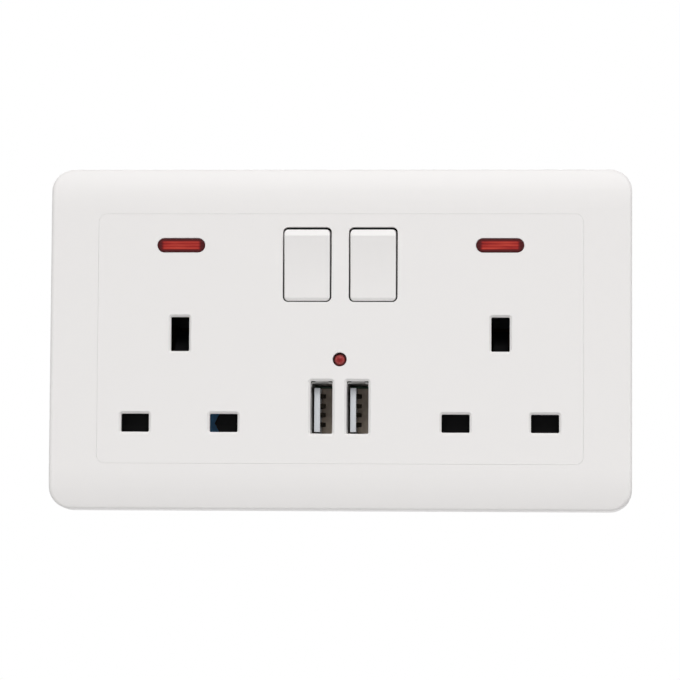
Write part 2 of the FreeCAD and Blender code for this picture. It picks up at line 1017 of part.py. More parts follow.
def terminal_block(name):
    x, z, front = terminal_places()[name]
    half = block_side / 2
    block = box(x - half, x + half, front, front + block_depth, z - half, z + half)
    wire_y = front + block_depth / 2 + wire_offset
    block = block.cut(post(wire_radius, x, wire_y, z - block_side, z + block_side))
    return block.cut(rod(terminal_screw + thread_play, x, z, wire_y, case_depth))


def terminal_screw_solid(name):
    x, z, front = terminal_places()[name]
    seat = screw_seat_y(name)
    tip = front + block_depth / 2 + wire_offset + wire_radius
    head = rod(terminal_head, x, z, seat, seat + terminal_head_height)
    screw = union([rod(terminal_screw, x, z, tip, seat), head])
    width, depth = terminal_slot
    top = seat + terminal_head_height
    return screw.cut(slab(3 * terminal_head, width, 0, x, z, top - depth, top + 1))


def rear_ribs():
    """Two ribs behind each shutter, which keep it in and part the contacts."""
    ribs = []
    for outlet in (-outlet_x, outlet_x):
        for hand in (-1, 1):
            middle = outlet + hand * rib_side
            low_x, high_x = middle - rib_thick / 2, middle + rib_thick / 2
            low, high = bar_low - rib_foot, stem_top_z - shutter_travel
            ribs.append(box(low_x, high_x, slide_back + shutter_gap, case_floor, low, high))
    return ribs


def rear_posts():
    """Posts on the case's back that carry the contacts, the bars and the board."""
    posts = []
    for name, x in each_outlet():
        posts.append((line_x(name), line_z, post_radius, contact_back))
        posts.append((x, earth_z, post_radius, earth_back + bar_thick))
    posts.append((neutral_x("left"), line_z, post_radius, contact_back))
    posts.append((-arm_left_x, arm_top_z, arm_post_radius, contact_back))
    posts.append((arm_right_x, arm_post_z, arm_post_radius, contact_back))
    posts.append((arm_post_x, arm_top_z, arm_post_radius, contact_back))
    half = board_size[0] / 2 - board_post
    for x in (-half, half):
        posts.append((x, board_top - board_post, board_post / 2, board_back))
    return [rod(radius, x, z, y, case_floor) for x, z, radius, y in posts]


def driver_ways():
    """Ways through the case's back to the terminal screws, as (x, z, y at the screw)."""
    return [(*place[:2], screw_seat_y(name)) for name, place in terminal_places().items()]


def case_posts():
    """Everything that stands on the case's back: ribs, posts and the terminals' rings."""
    neutral_slot = box(
        neutral_x("left") - grip_width,
        neutral_x("right") + grip_width,
        neutral_bar_y - strip_thick - slide_play,
        neutral_bar_y + bar_thick + slide_play,
        neutral_bar_z - neutral_bar_height / 2 - slide_play,
        neutral_bar_z + neutral_bar_height / 2 + slide_play,
    )
    shapes = [rib.cut(neutral_slot) for rib in rear_ribs()] + rear_posts()
    for x, z, seat in driver_ways():
        if seat < case_floor:
            ring = rod(driver_radius + terminal_ring, x, z, seat, case_floor)
            shapes.append(ring.cut(rod(driver_radius, x, z, seat - 1, case_depth)))
    return shapes


def case_back():
    """Flat back of the case."""
    back = case_block(0, case_floor, case_depth)
    for x, z in screw_places():
        back = back.cut(rod(screw_head_radius + screw_hole_play, x, z, screw_seat, case_depth + 1))
    for x, z, seat in driver_ways():
        back = back.cut(rod(driver_radius, x, z, seat, case_depth + 1))
    return back


def wire_ways():
    """Way through the case's top or bottom wall for each terminal's wire."""
    ways = []
    for name, (x, z, front) in terminal_places().items():
        wire_y = front + block_depth / 2 + wire_offset
        far = case_height / 2 + 1
        upward = name != "neutral_terminal"
        ends = (z + block_side / 2, far) if upward else (-far, z - block_side / 2)
        ways.append(post(wire_way, x, wire_y, *ends))
    return ways


def rear_case():
    """Walls of the case behind the strap, with the bosses that its screws go through."""
    walls = case_block(0, 0, case_floor)
    flange = case_block(-flange_out, 0, flange_deep)
    walls = union([walls, flange]).cut(case_block(case_wall, -1, case_floor + 1))
    inside = case_block(case_wall / 2, 0, case_floor)
    bosses = [rod(screw_boss, x, z, 0, case_floor).common(inside) for x, z in screw_places()]
    walls = union([walls] + bosses)
    for x, z in screw_places():
        walls = walls.cut(rod(screw_radius + screw_hole_play, x, z, -1, screw_seat + 1))
        walls = walls.cut(rod(screw_head_radius + screw_hole_play, x, z, screw_seat, case_depth))
    for tool in wire_ways():
        walls = walls.cut(tool)
    return walls


def rocker_profile():
    """Side view of a rocker half way between ON and OFF, as edges in the YZ plane."""
    crest_y = front_y - rocker_crest
    crest_z = rocker_half - rocker_top_lip
    low_crest_z = rocker_low_lip - rocker_half
    back_y = front_y + rocker_skirt

    def point(y, z):
        return V(-rocker_width / 2, y, rocker_z + z)

    face = Part.Arc(
        point(crest_y, crest_z), point(crest_y + rocker_hollow, 0), point(crest_y, low_crest_z)
    )
    corners = [
        (crest_y, low_crest_z),
        (crest_y + rocker_low_drop, -rocker_low),
        (back_y, -rocker_low),
        (back_y, rocker_top),
        (crest_y + rocker_edge_drop, rocker_top),
        (crest_y, crest_z),
    ]
    edges = [face.toShape()]
    for start, end in zip(corners, corners[1:]):
        edges.append(Part.LineSegment(point(*start), point(*end)).toShape())
    return edges


def rocker(side):
    face = Part.Face(Part.Wire(rocker_profile()))
    body = face.extrude(V(rocker_width, 0, 0))
    corners = []
    for edge in body.Edges:
        b = edge.BoundBox
        if b.YMax - b.YMin > rocker_skirt - 0.5 and b.ZMax - b.ZMin < 0.01 and b.XMax - b.XMin < 0.01:
            corners.append(edge)
    body = body.makeFillet(rocker_corner, corners)
    rim = []
    for edge in body.Edges:
        b = edge.BoundBox
        if b.YMax < front_y + 0.2:
            rim.append(edge)
    body = body.makeFillet(rocker_round, rim)
    hollow = box(
        -rocker_inner,
        rocker_inner,
        rocker_ceiling,
        front_y + rocker_skirt + 1,
        rocker_z - rocker_low + rocker_wall,
        rocker_z + rocker_top - rocker_wall,
    )
    body = body.cut(hollow)
    body = union([body, rod(tube_radius, 0, rocker_z, rocker_ceiling - join, tube_back)])
    body = body.cut(rod(plunger_radius + plunger_play, 0, rocker_z, rocker_ceiling, tube_back + 1))
    bore = rocker_inner + trunnion_bite + 0.1
    for side_start in (-bore, rocker_inner):
        side_end = side_start + bore - rocker_inner
        body = body.cut(
            cross_rod(trunnion_radius + fit_play, side_start, side_end, pivot_y, rocker_z)
        )
    return rocked(body, side)


def rocked(shape, side):
    """Move a piece from the middle plane to its rocker, turned to ON."""
    shape.rotate(V(0, pivot_y, rocker_z), V(1, 0, 0), rocker_tilt)
    shape.translate(V(side * rocker_x, 0, 0))
    return shape


def plunger(side):
    tip_y = plunger_tip_y - plunger_tip
    start = plunger_tip_y - plunger_length
    cone_start = tip_y - plunger_neck - plunger_cone
    body = rod(plunger_radius, 0, rocker_z, start, cone_start)
    cone = Part.makeCone(
        plunger_radius, plunger_tip, plunger_cone, V(0, cone_start, rocker_z), V(0, 1, 0)
    )
    neck = rod(plunger_tip, 0, rocker_z, cone_start + plunger_cone, tip_y)
    ball = Part.makeSphere(plunger_tip, V(0, tip_y, rocker_z))
    body = union([body, cone, neck, ball])
    body = body.cut(rod(plunger_bore, 0, rocker_z, start - 1, start + plunger_bore_depth))
    return rocked(body, side)


def plunger_spring(side):
    end = plunger_tip_y - plunger_length + plunger_bore_depth
    radius = plunger_bore - plunger_wire / 2 - plunger_spring_play
    spring = coil(
        radius,
        plunger_wire,
        plunger_turns,
        end - rocker_ceiling,
        V(0, rocker_ceiling, rocker_z),
        V(0, 1, 0),
    )
    return rocked(spring, side)


def seesawed(shape, side):
    """Move a piece from the middle plane to its see-saw, turned to ON."""
    shape.rotate(V(0, seesaw_y, rocker_z), V(1, 0, 0), seesaw_tilt)
    shape.translate(V(side * rocker_x, 0, 0))
    return shape


def moving_contact(side):
    back = seesaw_front + seesaw_thick
    half = seesaw_length / 2
    plate = box(
        -seesaw_width / 2, seesaw_width / 2, seesaw_front, back, rocker_z - half, rocker_z + half
    )
    ears = seesaw_width / 2 + support_gap + support_ear
    pins = cross_rod(seesaw_pin, -ears, ears, seesaw_y, rocker_z)
    radius, height = seesaw_rivet
    rivet = rod(radius, 0, rocker_z + seesaw_rivet_z, back, back + height)
    return seesawed(union([plate, pins, rivet]), side)


def switch_support(side):
    near = seesaw_width / 2 + support_gap
    far = near + support_ear
    x = side * rocker_x
    half = support_ear_height / 2
    shapes = [
        box(
            x - far,
            x + far,
            support_y,
            support_y + strip_thick,
            rocker_z - support_foot / 2,
            rocker_z + support_foot / 2,
        )
    ]
    for hand in (-1, 1):
        low, high = min(hand * near, hand * far), max(hand * near, hand * far)
        shapes.append(
            box(
                x + low,
                x + high,
                seesaw_y - support_lead,
                support_y + strip_thick,
                rocker_z - half,
                rocker_z + half,
            )
        )
    support = union(shapes)
    hole = cross_rod(seesaw_pin + fit_play, x - far - 1, x + far + 1, seesaw_y, rocker_z)
    return support.cut(hole)


def line_bar():
    half_x = rocker_x + seesaw_width / 2 + support_gap + support_ear
    half_z = line_bar_height / 2
    bar = box(-half_x, half_x, line_bar_y, line_bar_y + bar_thick, rocker_z - half_z, rocker_z + half_z)
    front = terminal_places()["line_terminal"][2]
    half_tab = line_tab_width / 2
    tab_z = rocker_z - half_z + line_tab_margin
    tab = box(-half_tab, half_tab, line_bar_y, front, tab_z, tab_z + line_tab_length)
    return union([bar, tab])


def grip(pin_height, mouth, back, width):
    """Sprung jaws that open to the front, either side of z = 0, with their floor at the back."""
    half = pin_height / 2 + grip_play
    upper = half + strip_thick / 2
    floor_y = back + strip_thick / 2
    start = back - mouth + strip_thick
    line = [
        (start, upper + grip_flare),
        (start + grip_lead, upper),
        (floor_y, upper),
        (floor_y, -upper),
        (start + grip_lead, -upper),
        (start, -upper - grip_flare),
    ]
    return strip(line, strip_thick, -width / 2, width / 2)


def line_grip(x):
    jaws = grip(line_pin[1], grip_length, grip_back, grip_width)
    jaws.translate(V(x, 0, line_z))
    return jaws


def fixed_pad(side):
    """Pad and rivet that a see-saw presses on at ON."""
    x = side * rocker_x
    radius, height = seesaw_rivet
    back = seesaw_front + seesaw_thick + height + contact_play
    rivet = rod(radius, 0, rocker_z + seesaw_rivet_z, back, back + fixed_rivet)
    rivet = seesawed(rivet, side)
    pad_y = back + fixed_pad_step
    low, high = arm_top_z - arm_top_height / 2, arm_top_z + arm_top_height / 2
    outer = x + side * fixed_pad_reach
    inner = x - side * fixed_pad_start
    pad = box(min(inner, outer), max(inner, outer), pad_y, pad_y + strip_thick, low, high)
    riser_end = outer + side * strip_thick
    riser = box(min(outer, riser_end), max(outer, riser_end), pad_y, contact_back, low, high)
    return [rivet, pad, riser], riser_end


def line_contact(name):
    side = sides[name]
    jaws = line_grip(line_x(name))
    arm_x = -arm_left_x if side < 0 else arm_right_x
    pad, riser_end = fixed_pad(side)
    low, high = arm_top_z - arm_top_height / 2, arm_top_z + arm_top_height / 2
    half = arm_width / 2
    upright = box(arm_x - half, arm_x + half, grip_back, contact_back, line_z, high)
    far = arm_x - half if side < 0 else arm_x + half
    top = box(min(far, riser_end), max(far, riser_end), grip_back, contact_back, low, high)
    return union([jaws, upright, top] + pad)


def neutral_contact(name):
    x = neutral_x(name)
    half = grip_width / 2
    upper = line_z + line_pin[1] / 2 + grip_play
    high = neutral_bar_z + neutral_bar_height / 2
    step = box(x - half, x + half, grip_back, neutral_bar_y, upper, upper + strip_thick)
    tail = box(x - half, x + half, neutral_bar_y - strip_thick, neutral_bar_y, upper, high)
    return union([line_grip(x), step, tail])


def neutral_bar():
    left = neutral_x("left") - grip_width / 2
    right = neutral_x("right") + grip_width / 2
    low = neutral_bar_z - neutral_bar_height / 2
    high = neutral_bar_z + neutral_bar_height / 2
    return box(left, right, neutral_bar_y, neutral_bar_y + bar_thick, low, high)


def earth_contact(x):
    jaws = grip(earth_pin[0], earth_grip_length, earth_grip_back, earth_grip_width)
    jaws.rotate(V(0, 0, 0), V(0, 1, 0), 90)
    jaws.translate(V(x, 0, earth_z))
    return jaws


def earth_bar():
    half = earth_bar_height / 2
    reach = outlet_x + earth_bar_over
    bars = [box(-reach, reach, earth_back, earth_back + bar_thick, earth_z - half, earth_z + half)]
    holes = []
    for side in (-1, 1):
        x = side * earth_terminal_x
        top = earth_terminal_z + block_side / 2
        bars.append(
            box(
                x - block_side / 2,
                x + block_side / 2,
                earth_back,
                earth_back + bar_thick,
                earth_z,
                top,
            )
        )
        holes.append(rod(terminal_screw + bar_hole_play, x, earth_terminal_z, earth_back - 1, case_depth))
    bar = union(bars)
    for tool in holes:
        bar = bar.cut(tool)
    return bar


def shutter_wedge(x):
    """Ramp that the earth pin pushes down."""
    front, top = shutter_front, stem_top_z
    rise = shutter_travel
    points = [
        (front, top - wedge_root),
        (front, top),
        (front + rise, top + rise),
        (front + rise + wedge_lip, top + rise),
        (front + rise + wedge_lip, top + rise - wedge_back),
        (slide_back + wedge_step, top + join),
        (slide_back, top + wedge_gap),
        (cap_back, top + wedge_gap),
        (cap_back, top - wedge_root),
    ]
    return prism(points, x - wedge_width / 2, x + wedge_width / 2)


def shutter_plate(x, y0, y1):
    """T of one layer: a bar over both pin holes and a stem with the spring's window."""
    bar = box(x - bar_half, x + bar_half, y0, y1, bar_low, bar_top)
    stem = box(x - stem_width / 2, x + stem_width / 2, y0, y1, bar_top - 0.5, stem_top_z)
    window = box(
        x - window_width / 2,
        x + window_width / 2,
        y0 - 1,
        y1 + 1,
        window_z,
        window_z + window_height,
    )
    return union([bar, stem]).cut(window)


def shutter(name):
    x = sides[name] * outlet_x
    plate = union([shutter_plate(x, shutter_front, cap_back), shutter_wedge(x)])
    if name == "right":
        return plate
    start, tip, wide = view_window
    low, high = bar_low + view_strip, bar_top - view_strip
    middle = (low + high) / 2
    corners = [(start, low), (wide, low), (tip, middle), (wide, high), (start, high)]
    points = [V(x + px, shutter_front - 1, pz) for px, pz in corners]
    tool = Part.Face(Part.makePolygon(points + points[:1])).extrude(V(0, cap_thick + 2, 0))
    return plate.cut(tool)


def shutter_slide(x):
    return shutter_plate(x, cap_back, slide_back)


def shutter_spring(x):
    middle = (shutter_front + slide_back) / 2
    return coil(
        shutter_coil,
        shutter_wire,
        shutter_turns,
        spring_high - spring_low,
        V(x, middle, spring_low),
        V(0, 0, 1),
    )


def usb_shell(side):
    x = side * usb_x
    width, height = usb_shell_size
    clear_width, clear_height = width - 2 * usb_wall, height - 2 * usb_wall
    grow, depth = usb_lip
    rim = usb_front + depth
    outer = slab(width, height, usb_corner[0], x, usb_z, rim, board_front)
    inner = slab(clear_width, clear_height, usb_corner[1], x, usb_z, rim - 1, board_front + 1)
    flare = taper(width, height, 0, x, usb_z, usb_front, rim, grow)
    flare = flare.cut(taper(clear_width, clear_height, 0, x, usb_z, usb_front, rim, grow))
    far = usb_lip_corner + usb_wall + grow
    for side_x in (-1, 1):
        for side_z in (-1, 1):
            corner_x = x + side_x * (clear_width / 2 - usb_lip_corner + far)
            corner_z = usb_z + side_z * (clear_height / 2 - usb_lip_corner + far)
            flare = flare.cut(slab(2 * far, 2 * far, 0, corner_x, corner_z, usb_front - 1, rim))
    return union([outer.cut(inner), flare])


def usb_tongue(side):
    x = side * usb_x
    width = usb_shell_size[0] - 2 * usb_wall - 2 * usb_block_play
    height = usb_shell_size[1] - 2 * usb_wall - 2 * usb_block_play - usb_block_step
    block_z = usb_z - usb_block_step / 2
    start = x + usb_tongue_x
    middle = usb_z - usb_tongue_drop
    tongue = box(
        start,
        start + usb_tongue_thick,
        usb_front + usb_tongue_inset,
        board_front - 1,
        middle - usb_tongue_width / 2,
        middle + usb_tongue_width / 2,
    )
    block = slab(width, height, usb_corner[1], x, block_z, board_front - usb_block, board_front)
    body = union([tongue, block])
    for strip_solid in usb_contacts(side):
        body = body.cut(strip_solid)
    return body


def usb_contacts(side):
    face = side * usb_x + usb_tongue_x + usb_tongue_thick
    thick, width = usb_contact_size
    tip = usb_front + usb_tongue_inset
    low, high = face - thick / 2, face + thick / 2
    rise = [0, usb_contact_bow, usb_contact_bow, 0]
    path = [(high + up, tip + run) for up, run in zip(rise, usb_bow_run)]
    bow = path + [(x - thick, y) for x, y in reversed(path)]
    strips = []
    for place in usb_contact_z:
        z0 = usb_z - usb_tongue_drop + place - width / 2
        flat = box(low, high, tip + usb_contact_inset, board_front, z0, z0 + width)
        strips.append(union([flat, prism_up(bow, z0, z0 + width)]))
    return strips


def usb_board():
    width, height = board_size
    half = width / 2
    board = box(-half, half, board_front, board_back, board_top - height, board_top)
    return board


def transformer_core():
    width, height, depth = core_size
    x, z = core_place[0], usb_z + core_place[1]
    y0, y1 = board_back, board_back + depth
    block = box(x - width / 2, x + width / 2, y0, y1, z - height / 2, z + height / 2)
    limb = core_limb
    for hand in (-1, 1):
        near = x + hand * limb
        far = x + hand * (width / 2 - limb)
        tool = box(
            min(near, far),
            max(near, far),
            y0 + limb,
            y1 - limb,
            z - height,
            z + height,
        )
        block = block.cut(tool)
    return block


def transformer_winding():
    width, height, depth = core_size
    x, z = core_place[0], usb_z + core_place[1]
    y0, y1 = board_back + core_limb, board_back + depth - core_limb
    play = winding_play
    half_x = width / 2 - core_limb - play
    outer_height = height + 2 * winding_over
    outer = slab(2 * half_x, outer_height, winding_corner, x, z, y0 + play, y1 - play)
    limb = core_limb + play
    hole = box(x - limb, x + limb, y0, y1, z - height / 2 - play, z + height / 2 + play)
    return outer.cut(hole)


def filter_capacitors():
    z = usb_z - capacitor_drop
    return [
        rod(capacitor_radius, x, z, board_back, board_back + capacitor_length) for x in capacitor_x
    ]


def control_chip():
    width, depth, height = chip_size
    x, z = chip_place[0], usb_z + chip_place[1]
    body = box(
        x - width / 2,
        x + width / 2,
        board_front - depth,
        board_front - chip_seat,
        z - height / 2,
        z + height / 2,
    )
    shapes = [body]
    pitch = width / chip_legs
    for i in range(chip_legs):
        leg_x = x - width / 2 + pitch * (i + 0.5)
        for hand in (-1, 1):
            near = z + hand * (height / 2 - chip_leg_tuck)
            far = z + hand * (height / 2 + chip_leg_reach)
            shapes.append(
                box(
                    leg_x - chip_leg_half,
                    leg_x + chip_leg_half,
                    board_front - chip_leg_thick,
                    board_front,
                    min(near, far),
                    max(near, far),
                )
            )
    return union(shapes)


def indicator_led():
    tip = front_y + led_inset
    dome = Part.makeSphere(led_radius, V(0, tip + led_radius, led_z))
    body = rod(led_radius, 0, led_z, tip + led_radius, tip + led_body)
    collar_end = tip + led_body + led_collar[1]
    collar = rod(led_radius + led_collar[0], 0, led_z, tip + led_body, collar_end)
    shapes = [dome, body, collar]
    for hand in (-1, 1):
        x = hand * led_lead_x
        shapes.append(
            box(
                x - led_lead,
                x + led_lead,
                collar_end - led_collar[1] / 2,
                board_front,
                led_z - led_lead,
                led_z + led_lead,
            )
        )
    return union(shapes)


def neon_lamp(side):
    x = side * lens_x
    half = lamp_length / 2
    y = lamp_y()
    glass = cross_rod(lamp_radius, x - half, x + half, y, lens_z)
    ends = [e for e in glass.Edges if e.BoundBox.XMax - e.BoundBox.XMin < 0.01]
    glass = glass.makeFillet(lamp_round, ends)
    return glass


def neon_resistor(side):
    x = side * lens_x
    half = resistor_length / 2
    y = lamp_y() + lamp_radius + pocket_wall + resistor_radius
    return cross_rod(resistor_radius, x - half, x + half, y, lens_z)


def supply_leads():
    low = board_top - lead_drop
    back = board_back + lead_loop
    live_z = rocker_z - line_bar_height / 2 + lead_tuck
    live = [
        (live_lead_x, board_back, low),
        (live_lead_x, back, low),
        (live_lead_x, back, live_z),
        (live_lead_x, line_bar_y + bar_thick, live_z),
    ]
    x = neutral_lead_x
    neutral = [(x, board_back, neutral_bar_z), (x, neutral_bar_y, neutral_bar_z)]
    straight = rod(lead_radius, x, neutral_bar_z, neutral[0][1], neutral[1][1])
    return [bent_wire(live, lead_bend, lead_radius), straight]


def main():
    os.makedirs("parts", exist_ok=True)
    save("front_frame", front_frame())
    save("inner_panel", inner_panel())
    save("base_front", base_front())
    save("base_skirt", base_skirt())
    save("deck_wells", deck_wells())
    rails = shutter_rails(-outlet_x) + shutter_rails(outlet_x)
    save("shutter_rails", rails)
    save("rear_case", rear_case())
    save("case_back", case_back())
    save("case_posts", case_posts())
    save("mounting_strap", mounting_strap())
    save("case_screws", [case_screw(x, z) for x, z in screw_places()])
    save("cover_clips", [cover_clip(x, z) for x, z in tongue_places()])
    for name, side in sides.items():
        x = side * outlet_x
        save(f"neon_lens_{name}", neon_lens(side))
        save(f"neon_lamp_{name}", neon_lamp(side))
        save(f"rocker_{name}", rocker(side))
        save(f"plunger_{name}", plunger(side))
        save(f"plunger_spring_{name}", plunger_spring(side))
        save(f"moving_contact_{name}", moving_contact(side))
        save(f"switch_support_{name}", switch_support(side))
        save(f"shutter_{name}", shutter(name))
        save(f"shutter_slide_{name}", shutter_slide(x))
        save(f"shutter_spring_{name}", shutter_spring(x))
        save(f"line_contact_{name}", line_contact(name))
        save(f"neutral_contact_{name}", neutral_contact(name))
        save(f"earth_contact_{name}", earth_contact(x))
        save(f"usb_shell_{name}", usb_shell(side))
        save(f"usb_tongue_{name}", usb_tongue(side))
        save(f"usb_contacts_{name}", usb_contacts(side))
    save("line_bar", line_bar())
    save("neutral_bar", neutral_bar())
    save("earth_bar", earth_bar())
    for name in terminal_places():
        save(name, terminal_block(name))
    save("terminal_screws", [terminal_screw_solid(name) for name in terminal_places()])
    save("usb_board", usb_board())
    save("transformer_core", transformer_core())
    save("transformer_winding", transformer_winding())
    save("filter_capacitors", filter_capacitors())
    save("control_chip", control_chip())
    save("indicator_led", indicator_led())
    save("neon_resistors", [neon_resistor(side) for side in sides.values()])
    save("supply_leads", supply_leads())


main()
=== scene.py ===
import json
import math

import bmesh
import bpy
from mathutils import Matrix, Vector


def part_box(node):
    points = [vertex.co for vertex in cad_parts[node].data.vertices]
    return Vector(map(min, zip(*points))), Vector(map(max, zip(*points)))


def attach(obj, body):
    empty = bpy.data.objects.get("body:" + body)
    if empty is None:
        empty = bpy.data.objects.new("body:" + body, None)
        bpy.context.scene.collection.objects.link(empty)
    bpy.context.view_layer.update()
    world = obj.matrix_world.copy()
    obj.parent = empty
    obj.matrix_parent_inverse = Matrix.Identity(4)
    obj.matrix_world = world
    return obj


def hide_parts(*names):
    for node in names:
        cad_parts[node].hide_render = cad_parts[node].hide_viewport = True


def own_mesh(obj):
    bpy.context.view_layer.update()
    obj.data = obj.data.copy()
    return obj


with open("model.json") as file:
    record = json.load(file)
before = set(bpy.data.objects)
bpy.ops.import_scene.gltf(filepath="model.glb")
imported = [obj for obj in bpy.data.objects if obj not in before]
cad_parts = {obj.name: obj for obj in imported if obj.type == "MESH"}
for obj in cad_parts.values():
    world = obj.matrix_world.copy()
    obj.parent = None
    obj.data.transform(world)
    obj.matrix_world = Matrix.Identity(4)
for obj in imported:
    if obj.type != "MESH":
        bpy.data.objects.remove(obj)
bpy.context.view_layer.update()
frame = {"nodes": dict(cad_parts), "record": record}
nodes = frame["nodes"]
sides = ("left", "right")

# Camera, as the photo was taken: below the middle of the plate and a little to its right
camera_place = Vector((0.0523, -0.9054, -0.0674))
camera_pan = 3.327
camera_tilt = -4.279
camera_roll = 0.112
camera_lens = 191.3
camera_sensor = 36.0
camera_reach = 20.0

# Red lenses: their place, and the half size and soft edge, along X and Z, of the window of painted
# light that shows through them
lens_x = 0.03985
lens_z = 0.02332
lens_window_x = (0.0051, 0.0008)
lens_window_z = (0.00132, 0.00045)
lens_rib_waves = 8270.0
lens_rib_height = 0.00002
lens_rib_light = 0.13
lens_base_light = 0.2
lens_cloud_scale = 420.0
lens_cloud_stretch = (0.25, 1, 1.5)

# Charging light, with a faint glow of painted light
led_z = -0.0052
led_radius = 0.0017
led_painted_glow = 0.02

# Where the colour of each USB tongue ends and the painted shade and reflection on the block behind
# it starts
tongue_end = 0.0014
block_front = 0.0024
block_mottle = 0.5
block_mottle_scale = 700.0
port_skin_scale = 2200.0
port_skin_height = 0.00001

# Mould marks on the case's back: shallow fields, pin marks and a row of grooves. Each corner is
# a radius, and a corner's steps are the facets that it has
field_depth = 0.0004
field_corner = 0.0015
back_fields = ((-0.036, -0.0165, 0.022, 0.012), (0.034, -0.004, 0.026, 0.03))
pin_marks = ((-0.046, 0.017), (0.046, 0.021), (-0.048, -0.0045), (0.008, -0.02), (0.05, -0.024))
pin_mark_size = 0.0044
pin_mark_depth = 0.00015
pin_mark_corner = 0.00219
pin_mark_steps = 10
groove_places = [-0.004 + 0.0016 * step for step in range(6)]
groove_z = -0.003
groove_size = (0.0006, 0.012)
groove_depth = 0.0004
groove_corner = 0.0002
groove_steps = 2
back_edge = 0.0002
same_point = 1e-7
same_plane = 1

# Return springs of the shutters, as in the part's source
spring_radius = 0.00105
spring_wire = 0.00035
spring_turns = 9
spring_steps = 24
spring_facets = 3
spring_low = -0.01538
spring_length = 0.0098

# Stage: the floor is white by itself beyond its fade, as far as it is seen
floor_z = -0.165
floor_reach = 0.9
floor_front = -0.45
floor_grey = 0.88
floor_roughness = 0.8
floor_glow = 0.65
floor_fade = (0.2, 0.43)

# Light on the object: from below and from above, and two lamps by place, size and power
world_light = (0.04, 0.6)
key_lamp = ((0.12, -1.05, 0.95), (1.0, 0.5), 12.6)
front_lamp = ((0.1, -1.7, 0.1), (1.6, 1.0), 0.9)

# Smooth shading stops at edges sharper than the first two, and bevels take edges sharper than
# the third, in degrees
node_crease = 28
piece_crease = 60
bevel_crease = 30

# Part of a noise's range that carries its marks
noise_range = (0.3, 0.7)
noise_bands = (0.35, 0.65)

# Marks of mouldings: scale of their flow marks, gloss and skin
flow_scale = 38.0
flow_stretch = (1, 1, 1.6)
moulded_gloss_scale = 120.0
skin_scale = 2600.0

# Marks of metals: drawn lines with their height, and the shares that colour and gloss vary by
line_scale = 900.0
line_stretch = (1, 1, 12)
line_height = 0.000006
line_shade = 0.82
metal_gloss_scale = 300.0
metal_gloss = (0.7, 1.3)

# Marks of glass
glass_ior = 1.49
glass_scale = 500.0
glass_shade = 0.85
glass_gloss_scale = 900.0
glass_gloss = (0.6, 1.4)


def camera_turn():
    """Camera axes in the row frame, from its pan, tilt and roll in degrees."""
    roll = Matrix.Rotation(math.radians(camera_roll), 3, "Z")
    pan = Matrix.Rotation(math.radians(camera_pan), 3, "Y")
    tilt = Matrix.Rotation(math.radians(camera_tilt), 3, "X")
    turn = roll @ pan @ tilt
    right, down, ahead = (Vector((row[0], row[2], -row[1])) for row in turn)
    return Matrix((right, -down, -ahead)).transposed().to_4x4()


def add_camera():
    data = bpy.data.cameras.new("camera")
    data.lens = camera_lens
    data.sensor_width = camera_sensor
    data.clip_end = camera_reach
    camera = bpy.data.objects.new("camera", data)
    bpy.context.scene.collection.objects.link(camera)
    camera.matrix_world = Matrix.Translation(camera_place) @ camera_turn()
    bpy.context.scene.camera = camera


def seen_white(tree):
    """1 for the rays that show the background: from the camera, or by way of metal or glass."""
    path = tree.nodes.new("ShaderNodeLightPath")
    shown = math_node(tree, "MAXIMUM", path.outputs["Is Camera Ray"], path.outputs["Is Glossy Ray"])
    return math_node(tree, "MAXIMUM", shown, path.outputs["Is Transmission Ray"])


def add_world(light_range):
    """White where it is seen, and a soft light on the object that grows from below to above."""
    world = bpy.data.worlds.new("studio")
    bpy.context.scene.world = world
    world.use_nodes = True
    tree = world.node_tree
    tree.nodes.clear()
    height = axes(tree, "Generated")[2]
    light = tree.nodes.new("ShaderNodeBackground")
    spread = map_range(tree, height, (-1.0, 1.0), light_range, "SMOOTHSTEP")
    tree.links.new(spread, light.inputs["Strength"])
    white = tree.nodes.new("ShaderNodeBackground")
    white.inputs["Color"].default_value = (1, 1, 1, 1)
    mix = tree.nodes.new("ShaderNodeMixShader")
    out = tree.nodes.new("ShaderNodeOutputWorld")
    tree.links.new(seen_white(tree), mix.inputs[0])
    tree.links.new(light.outputs[0], mix.inputs[1])
    tree.links.new(white.outputs[0], mix.inputs[2])
    tree.links.new(mix.outputs[0], out.inputs[0])


def add_light(name, place, size, power):
    """Rectangular lamp that faces the frame's origin."""
    data = bpy.data.lights.new(name, "AREA")
    data.shape = "RECTANGLE"
    data.size, data.size_y = size
    data.energy = power
    light = bpy.data.objects.new(name, data)
    bpy.context.scene.collection.objects.link(light)
    light.location = place
    light.rotation_euler = (-Vector(place)).to_track_quat("-Z", "Y").to_euler()


def add_floor():
    mesh = bpy.data.meshes.new("floor")
    corners = [
        (-floor_reach, floor_front),
        (floor_reach, floor_front),
        (floor_reach, floor_reach),
        (-floor_reach, floor_reach),
    ]
    mesh.from_pydata([(x, y, floor_z) for x, y in corners], [], [(0, 1, 2, 3)])
    floor = bpy.data.objects.new("floor", mesh)
    bpy.context.scene.collection.objects.link(floor)
    material = bpy.data.materials.new("floor_paint")
    material.use_nodes = True
    tree = material.node_tree
    shader = tree.nodes["Principled BSDF"]
    shader.inputs["Base Color"].default_value = (floor_grey, floor_grey, floor_grey, 1)
    shader.inputs["Roughness"].default_value = floor_roughness
    pale = tree.nodes.new("ShaderNodeEmission")
    pale.inputs["Color"].default_value = (1, 1, 1, 1)
    mix = tree.nodes.new("ShaderNodeMixShader")
    place = axes(tree)
    distance = from_axis(tree, place[0], place[1])
    fade = map_range(tree, distance, floor_fade, (floor_glow, 1.0), "SMOOTHSTEP")
    tree.links.new(math_node(tree, "MULTIPLY", seen_white(tree), fade), mix.inputs[0])
    tree.links.new(shader.outputs[0], mix.inputs[1])
    tree.links.new(pale.outputs[0], mix.inputs[2])
    tree.links.new(mix.outputs[0], tree.nodes["Material Output"].inputs[0])
    mesh.materials.append(material)


